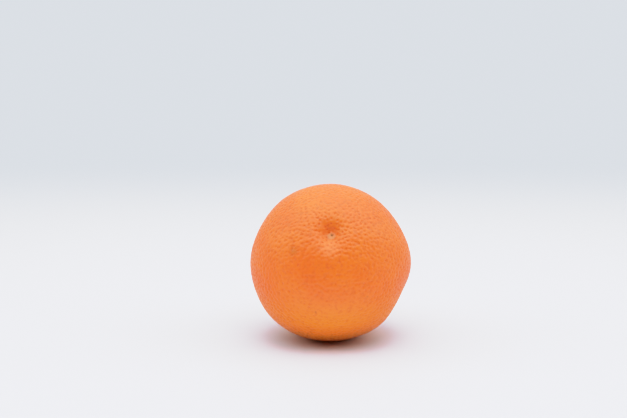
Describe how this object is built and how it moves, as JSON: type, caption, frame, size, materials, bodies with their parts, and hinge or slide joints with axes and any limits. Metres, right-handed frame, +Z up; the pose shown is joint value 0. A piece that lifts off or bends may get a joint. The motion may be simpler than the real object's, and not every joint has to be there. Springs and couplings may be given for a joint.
{
  "type": "orange",
  "caption": "Whole citrus fruit, slightly flattened, with a pitted peel, a dimple and scar at the stem end, and a small flat spot that it rests on.",
  "frame": {"origin": "middle of the fruit's box at its lowest level, on the flat spot that it rests on", "axes": "+Z up; the stem end is turned to -Y and raised about 37 degrees above level; X runs across the fruit"},
  "size_m": [0.0762, 0.0724, 0.0727],
  "materials": {
    "peel": "semi-matt citrus rind, pitted all over"
  },
  "bodies": {
    "root": {"orange": "peel"}
  },
  "joints": []
}
